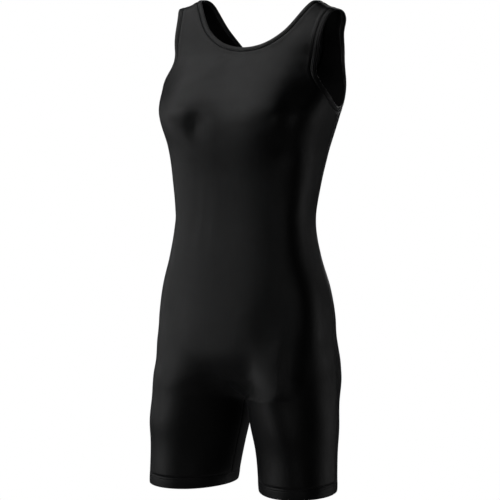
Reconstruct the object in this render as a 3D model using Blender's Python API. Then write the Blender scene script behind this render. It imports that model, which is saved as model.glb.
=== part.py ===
"""A wrestling singlet, filled out as it is when worn, in metres.

+Z is up, the front faces -Y and the wearer's left is +X. The origin lies on the shoulder line,
midway between the straps. The two sides mirror each other.

The cloth takes the form of a general figure, which the functions torso, leg and figure give as
a distance outside its surface. The cut of the garment is a set of lines on that surface, from
the tables below. A panel is a grid of points between its lines, put on the figure from inside,
and its wall is those points and the same ones moved out along the figure's normals.
"""

import math

import bmesh
import bpy
import numpy as np

# Cloth and trim
CLOTH = 0.0015  # the panels' wall
SEAM_GAP = 0.0003  # between pieces that are sewn together
NECK_BAND = 0.0075  # width of the neck binding
ARMHOLE_BAND = 0.0090  # width of the armhole binding
HEM_DEPTH = 0.0180  # cloth turned up at the leg
HEM = -0.783  # height of the leg opening
HEM_DIP = 0.0052  # how much lower the leg opening is at the front than at its sides

# Rows and columns of a half panel's grid
COLUMNS = 14
LEG_ROWS = 7
BODY_ROWS = 20
STRAP_ROWS = 15
ROW_CROWDING = 0.45  # how much closer the body's rows are at the crotch and chest
ROW_SAG = 0.020  # how far the row that ends at the underarm hangs below its straight run
SIDE_RISE = 0.010  # how much higher than the crotch its row meets the side seam

# The figure's trunk, section by section. A section is a rounded rectangle, rounder as its
# squareness nears 2, whose depths count from middle_y. The front is flatter than the back.
# height, half_width, middle_y, front_depth, back_depth, front_square, back_square
TRUNK = np.array([
    (0.020, 0.214, 0.002, 0.031, 0.046, 4.5, 2.0),
    (0.000, 0.210, 0.002, 0.034, 0.049, 4.5, 2.0),
    (-0.050, 0.190, 0.000, 0.043, 0.055, 4.5, 2.0),
    (-0.087, 0.163, -0.004, 0.051, 0.083, 2.8, 2.1),
    (-0.130, 0.156, -0.020, 0.064, 0.114, 2.6, 2.3),
    (-0.178, 0.147, -0.036, 0.076, 0.118, 3.3, 2.4),
    (-0.235, 0.131, -0.040, 0.070, 0.108, 2.8, 2.4),
    (-0.290, 0.122, -0.046, 0.062, 0.097, 2.9, 2.3),
    (-0.352, 0.116, -0.050, 0.058, 0.090, 3.0, 2.2),
    (-0.410, 0.125, -0.049, 0.063, 0.099, 3.1, 2.2),
    (-0.460, 0.140, -0.047, 0.069, 0.108, 2.9, 2.2),
    (-0.510, 0.1475, -0.045, 0.076, 0.114, 2.8, 2.2),
    (-0.560, 0.149, -0.045, 0.080, 0.116, 2.7, 2.1),
    (-0.626, 0.160, -0.044, 0.084, 0.118, 2.4, 2.2),
    (-0.700, 0.160, -0.044, 0.084, 0.112, 2.4, 2.2),
])
SHOULDER_AXIS = -0.080  # the trunk rounds over above this height
SHOULDER_RISE = 0.0925
STRAP_DIP = (0.127, 0.015, 0.0045)  # place in x, spread and depth of the dip along a shoulder
SEAT_AXIS = -0.545  # the trunk rounds in below this height
SEAT_DROP = 0.086  # how far below it the front closes
SEAT_DROP_BACK = 0.088
SEAT_DEPTH = 0.060  # how far behind the middle the back's drop applies in full

# The bust: two soft lobes added to the front, wider towards the middle, where the cloth spans
# from one to the other, and below, where it falls straighter than the figure
BUST_X = 0.082
BUST_Z = -0.163
BUST_DEPTH = 0.024
BUST_OUTER, BUST_INNER = 0.056, 0.088
BUST_ABOVE, BUST_BELOW = 0.080, 0.085
BUST_SOFT = 0.030  # how gradually a lobe's spread changes at its middle
BUST_START = 0.6  # share of the front depth where the lobes reach their full size

# The left leg, section by section. oval lengthens it towards the outer front, and seat fills
# its back.
# height, centre_x, centre_y, radius, oval, seat
LEG = np.array([
    (-0.420, 0.0500, -0.044, 0.0100, 0.000, 0.000),
    (-0.480, 0.0600, -0.044, 0.0450, 0.000, 0.000),
    (-0.540, 0.0720, -0.044, 0.0680, 0.000, 0.010),
    (-0.575, 0.0775, -0.044, 0.0760, 0.000, 0.017),
    (-0.600, 0.0808, -0.045, 0.0780, 0.008, 0.015),
    (-0.645, 0.0850, -0.044, 0.0760, 0.050, 0.007),
    (-0.684, 0.0890, -0.043, 0.0745, 0.085, 0.004),
    (-0.717, 0.0920, -0.043, 0.0702, 0.095, 0.002),
    (-0.785, 0.0975, -0.047, 0.0662, 0.085, 0.000),
    (-0.830, 0.1000, -0.048, 0.0650, 0.085, 0.000),
])
LEG_TOP = -0.420
LEG_BLEND = 0.022  # how softly the legs join the trunk

# The core, the line inside the figure that its surface is seen from
CORE_FORK = (-0.42, -0.62)  # where it starts to leave the trunk's middle, and is in the leg
CENTRE_FORK = (-0.50, -0.62)  # the same for the centre line's own core
CHEST = -0.20  # above this it spreads sideways, so that it lies under the straps
CORE_SPREAD = 0.9
CROTCH_Y = (-0.09, 0.01)  # where the crotch is looked for
CROTCH_CORE = -0.56

# Where the side seam runs
# height, y
SIDE_SEAM = np.array([
    (-0.100, -0.013),
    (-0.186, -0.015),
    (-0.352, -0.022),
    (-0.560, -0.032),
    (-0.680, -0.046),
    (-0.800, -0.052),
])

# The left armhole's finished edge: up the front from the underarm, and down the back
# x, y, z
ARMHOLE = np.array([
    (0.1460, -0.0148, -0.167),
    (0.1425, -0.0290, -0.160),
    (0.1380, -0.0480, -0.140),
    (0.1345, -0.0560, -0.108),
    (0.1345, -0.0500, -0.075),
    (0.1365, -0.0410, -0.045),
    (0.1400, -0.0280, -0.022),
    (0.1465, -0.0020, -0.013),
    (0.1470, 0.022, -0.024),
    (0.1365, 0.040, -0.048),
    (0.1300, 0.059, -0.085),
    (0.1310, 0.062, -0.120),
    (0.1370, 0.044, -0.147),
    (0.1435, 0.016, -0.164),
])
ARMHOLE_TIP = 7  # the row at the shoulder seam

# The neck's finished edge on the left: from the front's centre, over the shoulder, to the back's
# x, y, z
NECK = np.array([
    (0.0000, -0.058, -0.0745),
    (0.0350, -0.0535, -0.0685),
    (0.0670, -0.0426, -0.049),
    (0.0880, -0.027, -0.022),
    (0.1060, 0.000, 0.000),
    (0.1000, 0.015, -0.010),
    (0.0935, 0.029, -0.029),
    (0.0845, 0.040, -0.049),
    (0.0700, 0.053, -0.077),
    (0.0505, 0.067, -0.105),
    (0.0285, 0.075, -0.125),
    (0.0000, 0.077, -0.132),
])
NECK_POINT = 4  # the row at the shoulder seam

# A folded binding or hem in section: across, from its seam (0) to its finished edge (1), and
# how far out it stands
TRIM_SECTION = np.array([
    (0.00, 0.0000),
    (0.75, -0.0005),
    (0.97, 0.0000),
    (1.00, 0.0009),
    (0.97, 0.0018),
    (0.75, 0.0023),
    (0.00, 0.0017),
])

COLOUR = (0.010, 0.0105, 0.0115)
ROUGHNESS = 0.5
SHARP = math.radians(50)  # a wall's edges stay sharp above this angle

FRONT, BACK = -1, 1
MIRROR = np.array([-1.0, 1.0, 1.0])
FINE = 40  # points to each row of a cut line's table
DENSE = 400  # points to a line that is searched or respaced
HALVINGS = 36
TINY = 1e-6


# ---- the figure ----

def along(table, t):
    """A table's values at t, from a smooth curve through its rows. Column 0 is the parameter."""
    table = table[np.argsort(table[:, 0])]
    knots, values = table[:, 0], table[:, 1:]
    t = np.clip(np.asarray(t, float), knots[0], knots[-1])
    slopes = np.gradient(values, knots, axis=0)
    i = np.clip(np.searchsorted(knots, t) - 1, 0, len(knots) - 2)
    step = (knots[i + 1] - knots[i])[..., None]
    s = (t - knots[i])[..., None] / step
    low = values[i] * (1 + 2 * s) * (1 - s) ** 2 + slopes[i] * step * s * (1 - s) ** 2
    high = values[i + 1] * (3 - 2 * s) * s**2 - slopes[i + 1] * step * s**2 * (1 - s)
    return low + high


def ease(start, end, value):
    """0 before start, 1 after end, and smooth between."""
    s = np.clip((value - start) / (end - start), 0, 1)
    return s * s * (3 - 2 * s)


def lobe(offset, before, after):
    """1 at 0, falling off by one spread before it and another after it."""
    spread = before + (after - before) * ease(-BUST_SOFT, BUST_SOFT, offset)
    return np.exp(-((offset / spread) ** 2))


def bust(x, z):
    """How far the bust adds to the front depth."""
    lobes = sum(lobe(side * x - BUST_X, BUST_INNER, BUST_OUTER) for side in (-1, 1))
    return BUST_DEPTH * lobes * lobe(z - BUST_Z, BUST_BELOW, BUST_ABOVE)


def torso(x, y, z):
    """Distance outside the trunk, seen from its core."""
    half, middle, front, back, *squares = np.moveaxis(along(TRUNK, z), -1, 0)
    lift = np.maximum(z - SHOULDER_AXIS, 0)
    drop = np.maximum(SEAT_AXIS - z, 0)
    depth = y - middle
    bulge = bust(x, z) * ease(0, BUST_START, -depth / front)
    wall = np.where(depth < 0, front + bulge, back)
    square = np.where(depth < 0, *squares)
    place, spread, dip = STRAP_DIP
    rise = SHOULDER_RISE - dip * np.exp(-(((np.abs(x) - place) / spread) ** 2))
    flat = (np.abs(x / half) ** square + np.abs(depth / wall) ** square) ** (2 / square)
    fall = SEAT_DROP + (SEAT_DROP_BACK - SEAT_DROP) * ease(0, SEAT_DEPTH, depth)
    share = np.sqrt(flat + (lift / rise) ** 2 + (drop / fall) ** 2)
    return np.sqrt(x**2 + depth**2 + lift**2 + drop**2) * (1 - 1 / np.maximum(share, TINY))


def leg(x, y, z):
    """Distance outside the nearer leg."""
    centre_x, centre_y, radius, oval, seat_depth = np.moveaxis(along(LEG, z), -1, 0)
    dx, dy = np.abs(x) - centre_x, y - centre_y
    away = np.maximum(np.hypot(dx, dy), TINY)
    stretch = -2 * dx * dy / away**2
    return away - radius * (1 + oval * stretch) - seat_depth * (np.maximum(dy, 0) / away) ** 2


def figure(points):
    """Distance outside the whole figure: trunk and legs, softly joined."""
    x, y, z = np.moveaxis(points, -1, 0)
    trunk, limb = torso(x, y, z), leg(x, y, z)
    near = np.maximum(LEG_BLEND - np.abs(trunk - limb), 0) / LEG_BLEND
    joined = np.minimum(trunk, limb) - near**2 * LEG_BLEND / 4
    return np.where(z < LEG_TOP, joined, trunk)


def reach(start, direction, far=0.35):
    """Where a ray from inside leaves the figure, no farther than the plane x = 0, by halving."""
    direction = direction / np.linalg.norm(direction, axis=-1, keepdims=True)
    inward = -direction[..., :1]
    to_middle = start[..., :1] / np.maximum(inward, TINY)
    high = np.where(inward > TINY, np.minimum(to_middle, far), far)
    low = np.zeros_like(high)
    for _ in range(HALVINGS):
        middle = (low + high) / 2
        outside = figure(start + middle * direction)[..., None] > 0
        high = np.where(outside, middle, high)
        low = np.where(outside, low, middle)
    return start + low * direction


def normals(points, step=0.0004):
    """The figure's unit normals at points on it."""
    slope = [figure(points + d) - figure(points - d) for d in step * np.eye(3)]
    slope = np.stack(slope, -1)
    return slope / np.linalg.norm(slope, axis=-1, keepdims=True)


def core(z):
    """The line that rows are seen from: the trunk's middle, and lower down the leg's."""
    own = ease(*CORE_FORK, z)
    leg_x, leg_y = np.moveaxis(along(LEG, z)[..., :2], -1, 0)
    return np.stack([own * leg_x, (1 - own) * along(TRUNK, z)[..., 1] + own * leg_y, z], -1)


def seat(points):
    """Points near the upper figure put on it, as seen from its core."""
    x, y, z = np.moveaxis(points, -1, 0)
    axis = np.minimum(z, SHOULDER_AXIS)
    start_x = CORE_SPREAD * ease(CHEST, SHOULDER_AXIS, z) * x
    start = np.stack([start_x, along(TRUNK, axis)[..., 1], axis], -1)
    return reach(start, points - start)


# ---- the cut lines ----

def toward(points, others, distance):
    """Points moved a distance toward others."""
    step = others - points
    return points + distance * step / np.linalg.norm(step, axis=-1, keepdims=True)


def cut_line(before, rows, after):
    """A dense smooth line through rows, on the figure. before and after are the next rows."""
    rows = np.vstack([before, rows, after])
    run = np.cumsum(np.linalg.norm(np.diff(rows, axis=0), axis=1))
    run = np.concatenate([[0], run])
    stretches = [np.linspace(a, b, FINE, endpoint=False) for a, b in zip(run[1:-2], run[2:-1])]
    return seat(along(np.column_stack([run, rows]), np.concatenate(stretches + [run[-2:-1]])))


def into_cloth(line, first, last):
    """Directions along the figure at right angles to a line. first and last are its ends'."""
    tangent = np.gradient(line, axis=0)
    tangent[0], tangent[-1] = first, last
    across = np.cross(tangent, normals(line))
    return across / np.linalg.norm(across, axis=1, keepdims=True)


def edges(line, across, width):
    """A finished edge, where its band ends and where the panel starts."""
    seam = seat(line + width * across)
    return [line, toward(seam, line, SEAM_GAP / 2), toward(seam, line, -SEAM_GAP / 2)]


def spaced(count, crowding=0.0):
    """Count shares from 0 to 1, even or crowded towards both ends."""
    t = np.linspace(0, 1, count)
    return t - crowding * np.sin(2 * math.pi * t) / (2 * math.pi)


def evenly(lines, count, crowding=0.0):
    """The same count places on each of these lines, spaced along the last one."""
    run = np.cumsum(np.linalg.norm(np.diff(lines[-1], axis=0), axis=1))
    run = np.concatenate([[0], run])
    places = run[-1] * spaced(count, crowding)
    return [np.stack([np.interp(places, run, c) for c in line.T], -1) for line in lines]


def neck_edges(side):
    """The neck's three edges on one side of the shoulder seam, from the centre line."""
    line = cut_line(NECK[1] * MIRROR, NECK, NECK[-2] * MIRROR)
    lines = edges(line, into_cloth(line, (1, 0, 0), (-1, 0, 0)), NECK_BAND)
    at = NECK_POINT * FINE
    lines = [part[: at + 1] if side == FRONT else part[at:][::-1] for part in lines]
    return evenly(lines, STRAP_ROWS + 1)


def armhole_edges(side):
    """The armhole's three edges on one side of the shoulder seam, from the underarm."""
    line = cut_line(ARMHOLE[-1], np.vstack([ARMHOLE, ARMHOLE[:1]]), ARMHOLE[1])
    meet = line[1] - line[-2]
    lines = edges(line, -into_cloth(line, meet, meet), ARMHOLE_BAND)
    at = ARMHOLE_TIP * FINE
    lines = [part[: at + 1] if side == FRONT else part[at:][::-1] for part in lines]
    return evenly(lines, STRAP_ROWS + 1)


def side_seam(z):
    """Points of the left side seam at heights z."""
    start = np.stack([0 * z, along(SIDE_SEAM, z)[..., 0], z], -1)
    return reach(start, np.broadcast_to([1.0, 0, 0], start.shape))


def crotch():
    """The lowest point of the figure between its legs."""
    y = np.linspace(*CROTCH_Y, DENSE)
    start = np.stack([0 * y, y, 0 * y + CROTCH_CORE], -1)
    points = reach(start, np.broadcast_to([0, 0, -1.0], start.shape))
    return points[np.argmin(points[:, 2])]


def centre_line(side, z, fork):
    """Points of the front's or back's centre line at heights z above the crotch, fork."""
    trunk_y = along(TRUNK, z)[..., 1]
    start_y = trunk_y + ease(*CENTRE_FORK, z) * (fork[1] - trunk_y)
    start = np.stack([0 * z, start_y, z], -1)
    return reach(start, np.broadcast_to([0.0, side, 0], start.shape))


def inseam(z, fork):
    """Points of the left inseam at heights z below the crotch, fork."""
    start = core(z)
    down = np.clip((fork[2] - z) / (fork[2] - HEM), 0, 1)
    start[..., 1] = fork[1] + down * (start[..., 1] - fork[1])
    return reach(start, np.broadcast_to([-1.0, 0, 0], start.shape))


# ---- the cloth ----

def rows_across(outer, inner, side, dip, sag):
    """Rows of points from outer points at the side to inner ones, seen from the core.

    Angles run evenly. Heights ease from one end's to the other's, less sag times the hump
    u (1 - u)^2 near the side, and are dip lower in mid row at the front, and higher at the back.
    """
    hump_height = 4 / 27
    u = np.linspace(0, 1, COLUMNS + 1)
    z = outer[:, None, 2] + (inner - outer)[:, None, 2] * ease(0, 1, u)
    z = z - sag[:, None] * u * (1 - u) ** 2 / hump_height
    angles = []
    for ends in (outer, inner):
        away = ends - core(ends[:, 2])
        angles.append(np.arctan2(side * away[:, 1], away[:, 0]) % (2 * math.pi))
    first = np.where(angles[0] > math.pi, angles[0] - 2 * math.pi, angles[0])
    angle = first[:, None] * (1 - u) + angles[1][:, None] * u
    z = z + side * dip[:, None] * np.sin(angle)
    points = reach(core(z), np.stack([np.cos(angle), side * np.sin(angle), 0 * z], -1))
    points[:, 0], points[:, -1] = outer, inner
    return points


def patch(bottom, top, outer, inner):
    """A grid between four edges on the upper figure: straight rows between outer and inner,
    bent like the bottom and top near those, and put on the figure."""
    u = np.linspace(0, 1, len(bottom))[None, :, None]
    v = np.linspace(0, 1, len(outer))[:, None, None]
    rows = outer[:, None] * (1 - u) + inner[:, None] * u
    for row, weight in ((bottom, (1 - v) ** 2), (top, v**2)):
        rows = rows + weight * (row - row[0] * (1 - u) - row[-1] * u)
    return seat(rows)


def half_panel(side):
    """The left half of the front or back: rows from the hem to the shoulder seam, each from
    the side seam or armhole to the inseam, centre line or neck."""
    fork = crotch()
    neck, armhole = neck_edges(side)[-1], armhole_edges(side)[-1]
    bottom = HEM + HEM_DEPTH + SEAM_GAP / 2
    s = np.linspace(0, 1, DENSE)
    leg_edge = inseam(fork[2] - (fork[2] - bottom) * s[::-1] ** 2, fork)
    body_edge = centre_line(side, fork[2] + (neck[0, 2] - fork[2]) * s**2, fork)
    leg_z = evenly([leg_edge], LEG_ROWS + 1)[0][:-1, 2]
    body_z = evenly([body_edge], BODY_ROWS + 1, ROW_CROWDING)[0][1:, 2]
    inner = np.vstack([inseam(leg_z, fork), fork, centre_line(side, body_z, fork)])
    level = fork[2] + SIDE_RISE
    seam_z = np.linspace(bottom, level, LEG_ROWS + 1)
    upward = spaced(BODY_ROWS + 1, ROW_CROWDING)[1:]
    seam_z = np.append(seam_z, level + (armhole[0, 2] - level) * upward)
    outer = side_seam(seam_z)
    outer[-1], inner[-1] = armhole[0], neck[0] * (0, 1, 1)
    dip = HEM_DIP * np.append(np.linspace(1, 0, LEG_ROWS + 1) ** 2, np.zeros(BODY_ROWS))
    sag = ROW_SAG * np.append(np.zeros(LEG_ROWS), np.linspace(0, 1, BODY_ROWS + 1) ** 2)
    lower = rows_across(outer, inner, side, dip, sag)

    across = np.linspace(0, 1, COLUMNS + 1)[:, None]
    shoulder = seat(armhole[-1] + (neck[-1] - armhole[-1]) * across)
    upper = patch(lower[-1], shoulder, armhole, neck)
    upper[-1], upper[:, 0], upper[:, -1] = shoulder, armhole, neck
    upper[0] = lower[-1]
    grid = np.vstack([lower, upper[1:]])

    half_gap = SEAM_GAP / 2
    below = LEG_ROWS + BODY_ROWS + 1
    grid[:below, 0] = toward(grid[:below, 0], grid[:below, 1], half_gap)
    grid[:LEG_ROWS, -1] = toward(grid[:LEG_ROWS, -1], grid[:LEG_ROWS, -2], half_gap)
    grid[LEG_ROWS, -1, 1] += side * half_gap
    grid[-1] = toward(grid[-1], grid[-2], half_gap)
    return grid


def hem_ring(height):
    """A closed ring of points around the left leg at the hem's slope."""
    fork = crotch()
    z = np.array([height])
    halves = [
        rows_across(side_seam(z), inseam(z, fork), side, np.array([HEM_DIP]), 0 * z)[0]
        for side in (FRONT, BACK)
    ]
    return np.vstack([halves[0][:-1], halves[1][:0:-1]])


# ---- making the objects ----

def quads(rows, columns, wrap_rows=False, wrap_columns=False):
    """Faces of a grid of points, numbered row by row."""
    i = np.arange(rows if wrap_rows else rows - 1)[:, None]
    j = np.arange(columns if wrap_columns else columns - 1)[None, :]
    below, right = (i + 1) % rows, (j + 1) % columns
    faces = (i * columns + j, i * columns + right, below * columns + right, below * columns + j)
    return np.stack(faces, -1).reshape(-1, 4)


def cloth_material(name):
    """Plain black knit."""
    material = bpy.data.materials.new(name)
    material.use_nodes = True
    shader = material.node_tree.nodes["Principled BSDF"]
    shader.inputs["Base Color"].default_value = (*COLOUR, 1)
    shader.inputs["Roughness"].default_value = ROUGHNESS
    return material


def add_object(name, bm, parent):
    """One piece, smooth shaded, its faces turned out. Short diagonals keep seams' walls alike."""
    bmesh.ops.recalc_face_normals(bm, faces=bm.faces)
    bmesh.ops.triangulate(bm, faces=bm.faces, quad_method="SHORT_EDGE")
    for face in bm.faces:
        face.smooth = True
    mesh = bpy.data.meshes.new(name)
    bm.to_mesh(mesh)
    bm.free()
    mesh.set_sharp_from_angle(angle=SHARP)
    mesh.materials.append(cloth_material(name + "_knit"))
    piece = bpy.data.objects.new(name, mesh)
    piece.parent = parent
    bpy.context.collection.objects.link(piece)


def add_faces(bm, points, faces):
    verts = [bm.verts.new(p) for p in points]
    for face in faces:
        bm.faces.new([verts[i] for i in face])


def panel(name, side, parent):
    """The front or back, both halves in one piece, as a wall with its edges closed."""
    half = half_panel(side)
    rows, columns = half.shape[:2]
    bm = bmesh.new()
    add_faces(bm, half.reshape(-1, 3), quads(rows, columns))
    add_faces(bm, (half * MIRROR).reshape(-1, 3), quads(rows, columns)[:, ::-1])
    bmesh.ops.remove_doubles(bm, verts=bm.verts, dist=TINY)
    inside = list(bm.verts)
    skin = list(bm.faces)
    rim = [edge for edge in bm.edges if edge.is_boundary]
    points = np.array([v.co for v in inside], float)
    outside = points + CLOTH * normals(points)
    moved = {v: bm.verts.new(p) for v, p in zip(inside, outside)}
    for face in skin:
        bm.faces.new([moved[v] for v in face.verts])
    for edge in rim:
        a, b = edge.verts
        bm.faces.new([a, b, moved[b], moved[a]])
    add_object(name, bm, parent)


def trim(name, seam, edge, parent):
    """A closed loop of folded trim between its seam and its finished edge."""
    across, out = TRIM_SECTION[:, :1], TRIM_SECTION[:, 1:]
    seam, edge = seam[:, None], edge[:, None]
    points = seam * (1 - across) + edge * across
    points = points + out * (normals(seam) * (1 - across) + normals(edge) * across)
    bm = bmesh.new()
    add_faces(bm, points.reshape(-1, 3), quads(*points.shape[:2], True, True))
    add_object(name, bm, parent)


def neck_band(parent):
    """The neck binding, one loop all round."""
    loops = []
    for front, back in zip(neck_edges(FRONT)[:2], neck_edges(BACK)[:2]):
        left = np.vstack([front, back[::-1][1:]])
        left[[0, -1], 0] = 0
        loops.append(np.vstack([left, (left * MIRROR)[-2:0:-1]]))
    trim("neck_band", loops[1], loops[0], parent)


def paired_trim(name, seam, edge, parent):
    """A loop of trim on the left, and its mirror on the right."""
    trim(name + "_left", seam, edge, parent)
    trim(name + "_right", seam * MIRROR, edge * MIRROR, parent)


def armhole_bands(parent):
    """The two armhole bindings."""
    both = zip(armhole_edges(FRONT)[:2], armhole_edges(BACK)[:2])
    edge, seam = [np.vstack([front[:-1], back[:0:-1]]) for front, back in both]
    paired_trim("armhole_band", seam, edge, parent)


def leg_hems(parent):
    """The two leg hems, turned up and stitched."""
    paired_trim("leg_hem", hem_ring(HEM + HEM_DEPTH - SEAM_GAP / 2), hem_ring(HEM), parent)


def main():
    for old in list(bpy.data.objects):
        bpy.data.objects.remove(old)
    shoulders = bpy.data.objects.new("shoulders", None)
    bpy.context.collection.objects.link(shoulders)
    panel("front_panel", FRONT, shoulders)
    panel("back_panel", BACK, shoulders)
    neck_band(shoulders)
    armhole_bands(shoulders)
    leg_hems(shoulders)


main()
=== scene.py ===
"""A wrestling singlet in black stretch knit, filled out as it is when worn.

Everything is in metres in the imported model's frame: +Z up, the front towards -Y, the wearer's
left at +X, and the origin on the shoulder line midway between the straps. The cloth takes the
form of the same general figure as the solids, with the same cut lines, on a finer grid.
"""

import math

import bmesh
import bpy
import numpy as np
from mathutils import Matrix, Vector


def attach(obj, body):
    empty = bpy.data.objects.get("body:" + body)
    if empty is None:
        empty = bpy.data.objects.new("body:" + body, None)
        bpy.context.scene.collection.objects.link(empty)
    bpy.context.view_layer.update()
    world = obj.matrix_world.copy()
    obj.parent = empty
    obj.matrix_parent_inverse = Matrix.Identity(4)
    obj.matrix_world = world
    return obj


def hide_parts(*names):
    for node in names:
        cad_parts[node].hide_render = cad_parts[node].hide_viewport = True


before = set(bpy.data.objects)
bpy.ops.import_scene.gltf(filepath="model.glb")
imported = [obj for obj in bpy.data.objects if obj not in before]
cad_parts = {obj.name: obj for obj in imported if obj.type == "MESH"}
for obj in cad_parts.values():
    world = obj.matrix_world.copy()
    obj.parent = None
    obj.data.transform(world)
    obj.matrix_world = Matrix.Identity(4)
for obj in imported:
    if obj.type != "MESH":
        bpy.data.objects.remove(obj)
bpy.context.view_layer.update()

# Cloth and trim
WALL_IN, WALL_OUT = 0.0006, 0.0015  # how far out the panels' two faces lie
NECK_BAND = 0.0075  # width of the neck binding
ARMHOLE_BAND = 0.0090  # width of the armhole binding
HEM_DEPTH = 0.0183  # cloth turned up at the leg
HEM = -0.783  # height of the leg opening
HEM_DIP = 0.0052  # how much lower the leg opening is at the front than at its sides

# Rows and columns of a half panel's grid
COLUMNS = 56
LEG_ROWS = 36
BODY_ROWS = 104
STRAP_ROWS = 64
ROW_CROWDING = 0.45  # how much closer the body's rows are at the crotch and chest
ROW_SAG = 0.020, 0.024  # how far the front's and back's rows that end at the underarm hang
SIDE_RISE = 0.010  # how much higher than the crotch its row meets the side seam

# The figure's trunk, section by section. A section is a rounded rectangle, rounder as its
# squareness nears 2, whose depths count from middle_y. The front is flatter than the back.
# height, half_width, middle_y, front_depth, back_depth, front_square, back_square
TRUNK = np.array([
    (0.020, 0.214, 0.002, 0.031, 0.046, 4.5, 2.0),
    (0.000, 0.210, 0.002, 0.034, 0.049, 4.5, 2.0),
    (-0.050, 0.190, 0.000, 0.043, 0.055, 4.5, 2.0),
    (-0.087, 0.163, -0.004, 0.051, 0.083, 2.8, 2.1),
    (-0.130, 0.156, -0.020, 0.064, 0.114, 2.6, 2.3),
    (-0.178, 0.147, -0.036, 0.076, 0.118, 3.3, 2.4),
    (-0.235, 0.131, -0.040, 0.070, 0.108, 2.8, 2.4),
    (-0.290, 0.122, -0.046, 0.062, 0.097, 2.9, 2.3),
    (-0.352, 0.116, -0.050, 0.058, 0.090, 3.0, 2.2),
    (-0.410, 0.125, -0.049, 0.063, 0.099, 3.1, 2.2),
    (-0.460, 0.140, -0.047, 0.069, 0.108, 2.9, 2.2),
    (-0.510, 0.1475, -0.045, 0.076, 0.114, 2.8, 2.2),
    (-0.560, 0.149, -0.045, 0.080, 0.116, 2.7, 2.1),
    (-0.626, 0.160, -0.044, 0.084, 0.118, 2.4, 2.2),
    (-0.700, 0.160, -0.044, 0.084, 0.112, 2.4, 2.2),
])
SHOULDER_AXIS = -0.080  # the trunk rounds over above this height
SHOULDER_RISE = 0.0925
STRAP_DIP = (0.127, 0.015, 0.0045)  # place in x, spread and depth of the dip along a shoulder
SEAT_AXIS = -0.545  # the trunk rounds in below this height
SEAT_DROP = 0.086  # how far below it the front closes
SEAT_DROP_BACK = 0.088
SEAT_DEPTH = 0.060  # how far behind the middle the back's drop applies in full

# The bust: two soft lobes added to the front, wider towards the middle, where the cloth spans
# from one to the other, and below, where it falls straighter than the figure
BUST_X = 0.082
BUST_Z = -0.163
BUST_DEPTH = 0.024
BUST_OUTER, BUST_INNER = 0.056, 0.088
BUST_ABOVE, BUST_BELOW = 0.080, 0.085
BUST_SOFT = 0.030  # how gradually a lobe's spread changes at its middle
BUST_START = 0.6  # share of the front depth where the lobes reach their full size

# The left leg, section by section. oval lengthens it towards the outer front, and seat fills
# its back.
# height, centre_x, centre_y, radius, oval, seat
LEG = np.array([
    (-0.420, 0.0500, -0.044, 0.0100, 0.000, 0.000),
    (-0.480, 0.0600, -0.044, 0.0450, 0.000, 0.000),
    (-0.540, 0.0720, -0.044, 0.0680, 0.000, 0.010),
    (-0.575, 0.0775, -0.044, 0.0760, 0.000, 0.017),
    (-0.600, 0.0808, -0.045, 0.0780, 0.008, 0.015),
    (-0.645, 0.0850, -0.044, 0.0760, 0.050, 0.007),
    (-0.684, 0.0890, -0.043, 0.0745, 0.085, 0.004),
    (-0.717, 0.0920, -0.043, 0.0702, 0.095, 0.002),
    (-0.785, 0.0975, -0.047, 0.0662, 0.085, 0.000),
    (-0.830, 0.1000, -0.048, 0.0650, 0.085, 0.000),
])
LEG_TOP = -0.420
LEG_BLEND = 0.022  # how softly the legs join the trunk

# The core, the line inside the figure that its surface is seen from
CORE_FORK = (-0.42, -0.62)  # where it starts to leave the trunk's middle, and is in the leg
CENTRE_FORK = (-0.50, -0.62)  # the same for the centre line's own core
CHEST = -0.20  # above this it spreads sideways, so that it lies under the straps
CORE_SPREAD = 0.9
CROTCH_Y = (-0.09, 0.01)  # where the crotch is looked for
CROTCH_CORE = -0.56

# Where the side seam runs
# height, y
SIDE_SEAM = np.array([
    (-0.100, -0.013),
    (-0.186, -0.015),
    (-0.352, -0.022),
    (-0.560, -0.032),
    (-0.680, -0.046),
    (-0.800, -0.052),
])

# The left armhole's finished edge: up the front from the underarm, and down the back
# x, y, z
ARMHOLE = np.array([
    (0.1460, -0.0148, -0.167),
    (0.1425, -0.0290, -0.160),
    (0.1380, -0.0480, -0.140),
    (0.1345, -0.0560, -0.108),
    (0.1345, -0.0500, -0.075),
    (0.1365, -0.0410, -0.045),
    (0.1400, -0.0280, -0.022),
    (0.1465, -0.0020, -0.013),
    (0.1470, 0.022, -0.024),
    (0.1365, 0.040, -0.048),
    (0.1300, 0.059, -0.085),
    (0.1310, 0.062, -0.120),
    (0.1370, 0.044, -0.147),
    (0.1435, 0.016, -0.164),
])
ARMHOLE_TIP = 7  # the row at the shoulder seam

# The neck's finished edge on the left: from the front's centre, over the shoulder, to the back's
# x, y, z
NECK = np.array([
    (0.0000, -0.058, -0.0745),
    (0.0350, -0.0535, -0.0685),
    (0.0670, -0.0426, -0.049),
    (0.0880, -0.027, -0.022),
    (0.1060, 0.000, 0.000),
    (0.1000, 0.015, -0.010),
    (0.0935, 0.029, -0.029),
    (0.0845, 0.040, -0.049),
    (0.0700, 0.053, -0.077),
    (0.0505, 0.067, -0.105),
    (0.0285, 0.075, -0.125),
    (0.0000, 0.077, -0.132),
])
NECK_POINT = 4  # the row at the shoulder seam

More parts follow.
